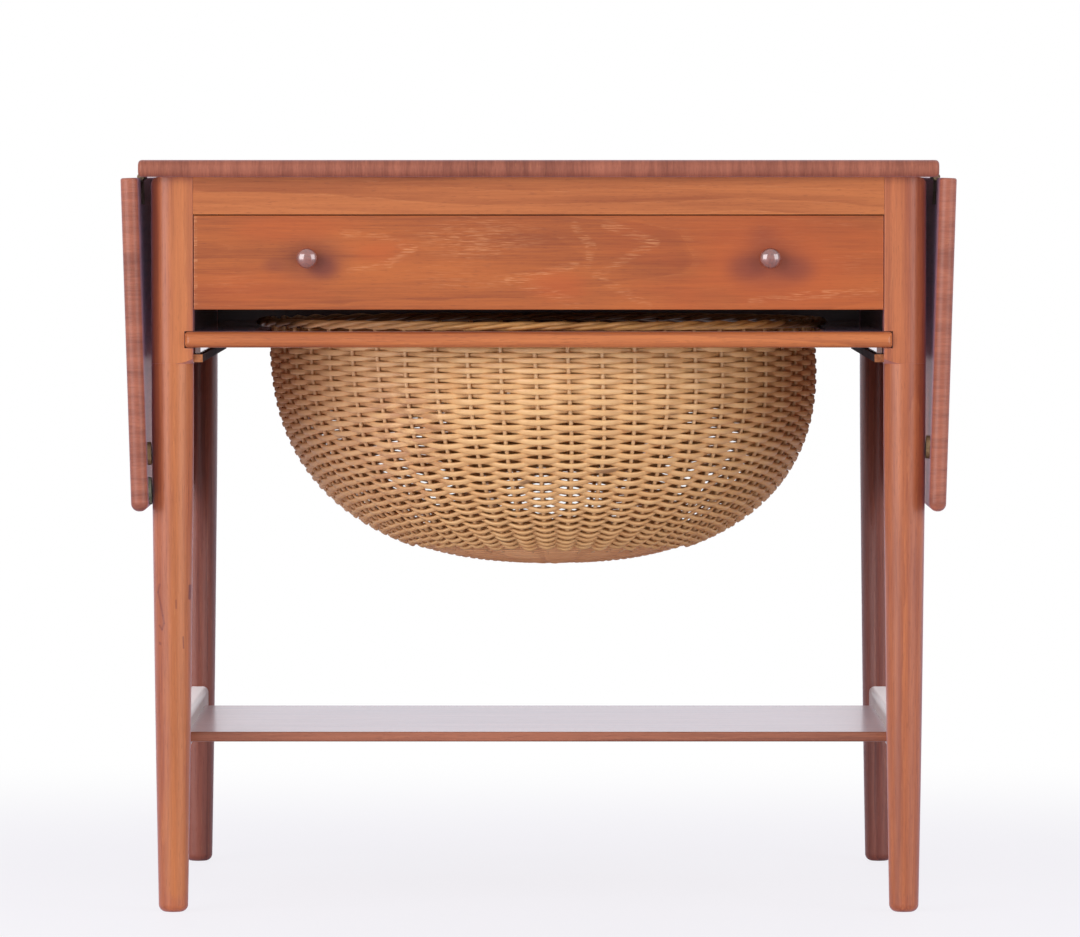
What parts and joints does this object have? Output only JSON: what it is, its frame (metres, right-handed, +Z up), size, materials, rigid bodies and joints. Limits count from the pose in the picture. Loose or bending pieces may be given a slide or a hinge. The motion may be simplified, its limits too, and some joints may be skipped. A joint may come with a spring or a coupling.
{
  "type": "drop-leaf sewing table",
  "caption": "Small teak sewing table with drop leaves on prop arms, a drawer, a sliding tray holding a woven basket, turned tapering legs and a low shelf.",
  "frame": {"origin": "on the floor under the middle of the table, leaves hanging", "axes": "+X to the right along the front, +Y from the front to the back, +Z up"},
  "size_m": [0.6672, 0.5806, 0.603],
  "materials": {
    "teak": "oiled teak",
    "birch": "pale planed hardwood",
    "plywood": "thin plywood",
    "cane": "woven cane",
    "brass": "aged brass",
    "steel": "plain steel",
    "rubber": "aged rubber",
    "felt": "grey-green felt"
  },
  "bodies": {
    "frame": {"drawer_runner_left": "birch", "drawer_runner_right": "birch", "front_leg_left": "teak", "front_leg_right": "teak", "front_rail": "teak", "hinge_pins_left": "brass", "hinge_pins_right": "brass", "hinge_top_plates_left": "brass", "hinge_top_plates_right": "brass", "hinge_top_screws": "brass", "prop_bracket_left": "brass", "prop_bracket_right": "brass", "prop_bracket_screws": "brass", "prop_pin_left": "brass", "prop_pin_right": "brass", "rear_apron": "teak", "rear_leg_left": "teak", "rear_leg_right": "teak", "runner_screws": "steel", "shelf": "teak", "side_apron_left": "teak", "side_apron_right": "teak", "stretcher_left": "teak", "stretcher_right": "teak", "top_board": "teak", "top_cleat_left": "birch", "top_cleat_right": "birch", "top_screws": "steel", "tray_runner_left": "teak", "tray_runner_right": "teak"},
    "drawer": {"drawer_front": "teak", "drawer_side_left": "birch", "drawer_side_right": "birch", "drawer_back": "birch", "drawer_bottom": "plywood", "drawer_bottom_screws": "steel", "drawer_divider_long": "birch", "drawer_dividers_short": "birch", "knob_left": "teak", "knob_right": "teak"},
    "tray": {"tray_front_rail": "teak", "tray_side_rail_left": "teak", "tray_side_rail_right": "teak", "tray_rear_rail": "teak", "basket_body": "cane", "basket_border": "cane"},
    "leaf_left": {"leaf_left": "teak", "hinge_leaf_plates_left": "brass", "leaf_screws_left": "brass", "prop_stop_left": "brass", "bumpers_left": "rubber", "felt_pad_left": "felt"},
    "prop_left": {"prop_arm_left": "brass"},
    "leaf_right": {"leaf_right": "teak", "hinge_leaf_plates_right": "brass", "leaf_screws_right": "brass", "prop_stop_right": "brass", "bumpers_right": "rubber"},
    "prop_right": {"prop_arm_right": "brass"}
  },
  "joints": [
    {"name": "drawer_slide", "type": "slide", "parent": "frame", "child": "drawer", "axis": [0, -1, 0], "range_m": [0, 0.33]},
    {"name": "tray_slide", "type": "slide", "parent": "frame", "child": "tray", "axis": [0, -1, 0], "range_m": [0, 0.34]},
    {"name": "leaf_left_hinge", "type": "hinge", "parent": "frame", "child": "leaf_left", "pos_m": [-0.3201, 0, 0.5894], "axis": [0, 1, 0], "range_deg": [0, 91.78]},
    {"name": "leaf_right_hinge", "type": "hinge", "parent": "frame", "child": "leaf_right", "pos_m": [0.3201, 0, 0.5894], "axis": [0, -1, 0], "range_deg": [0, 91.78]},
    {"name": "prop_left_pivot", "type": "hinge", "parent": "frame", "child": "prop_left", "pos_m": [-0.3022, 0, 0.4894], "axis": [0, 1, 0], "range_deg": [0, 129.15]},
    {"name": "prop_right_pivot", "type": "hinge", "parent": "frame", "child": "prop_right", "pos_m": [0.3022, 0, 0.4894], "axis": [0, -1, 0], "range_deg": [0, 129.15]}
  ],
  "couplings": [
    {"joint": "prop_left_pivot", "follows": "leaf_left_hinge", "ratio": 1.4071},
    {"joint": "prop_right_pivot", "follows": "leaf_right_hinge", "ratio": 1.4071}
  ]
}
